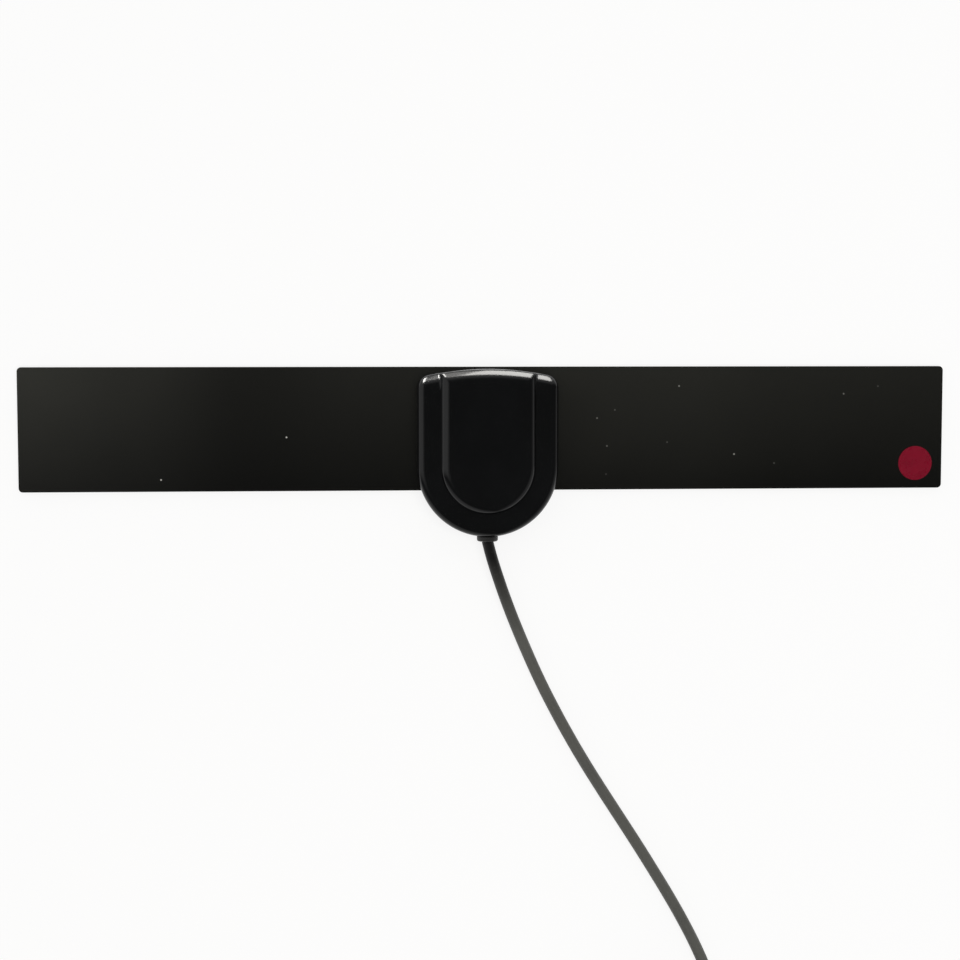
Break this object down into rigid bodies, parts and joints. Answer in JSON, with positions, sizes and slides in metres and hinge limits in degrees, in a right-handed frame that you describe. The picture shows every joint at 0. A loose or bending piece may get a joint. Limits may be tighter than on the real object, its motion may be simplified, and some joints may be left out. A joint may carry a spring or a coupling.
{
  "type": "flat indoor tv antenna",
  "caption": "Long flat strip antenna in black film with a glossy moulded housing across its middle, a small round red disc near one end, and a thin coaxial lead with a plug.",
  "frame": {"origin": "centre of the housing's flat back face, under the middle of the strip; the antenna lies on its back on a table at z = 0", "axes": "+X along the strip towards the end with the disc, +Y across the strip away from the lead, +Z out of the front face, upwards as it lies"},
  "size_m": [0.33, 0.2912, 0.0132],
  "materials": {
    "strip_film": "satin near-black film with a fine grain",
    "rear_film": "satin",
    "foil": "rolled",
    "red_label": "smooth",
    "black_gloss": "glossy moulded",
    "screw_steel": "zinc plated",
    "brass_parts": "plain",
    "board": "solder mask",
    "ferrite": "sintered",
    "copper_wire": "enamelled",
    "ceramic": "plain",
    "solder": "tinned",
    "tinned_steel": "tinned sheet",
    "dielectric": "plain",
    "jacket": "satin vinyl",
    "soft_black": "soft vinyl",
    "tie_black": "plain",
    "plug_metal": "nickel plated",
    "insulator": "plain"
  },
  "bodies": {
    "root": {"front_sheet": "strip_film", "rear_sheet": "rear_film", "element_left": "foil", "element_right": "foil", "badge": "red_label", "front_shell": "black_gloss", "rear_cover": "black_gloss", "cover_screws": "screw_steel", "contact_rivets": "brass_parts", "contact_spacers": "brass_parts", "circuit_board": "board", "balun_core": "ferrite", "antenna_winding": "copper_wire", "cable_winding": "copper_wire", "chip_capacitors": "ceramic", "solder_joints": "solder", "cable_clamp": "tinned_steel", "cable_jacket": "jacket", "cable_braid": "solder", "cable_dielectric": "dielectric", "cable_core": "copper_wire", "strain_relief": "soft_black", "cable": "jacket", "cable_coil": "jacket", "coil_tie": "tie_black", "cable_tail": "jacket", "plug_grip": "soft_black", "plug_sleeve": "plug_metal", "plug_insulator": "insulator", "plug_pin": "plug_metal"}
  },
  "joints": []
}
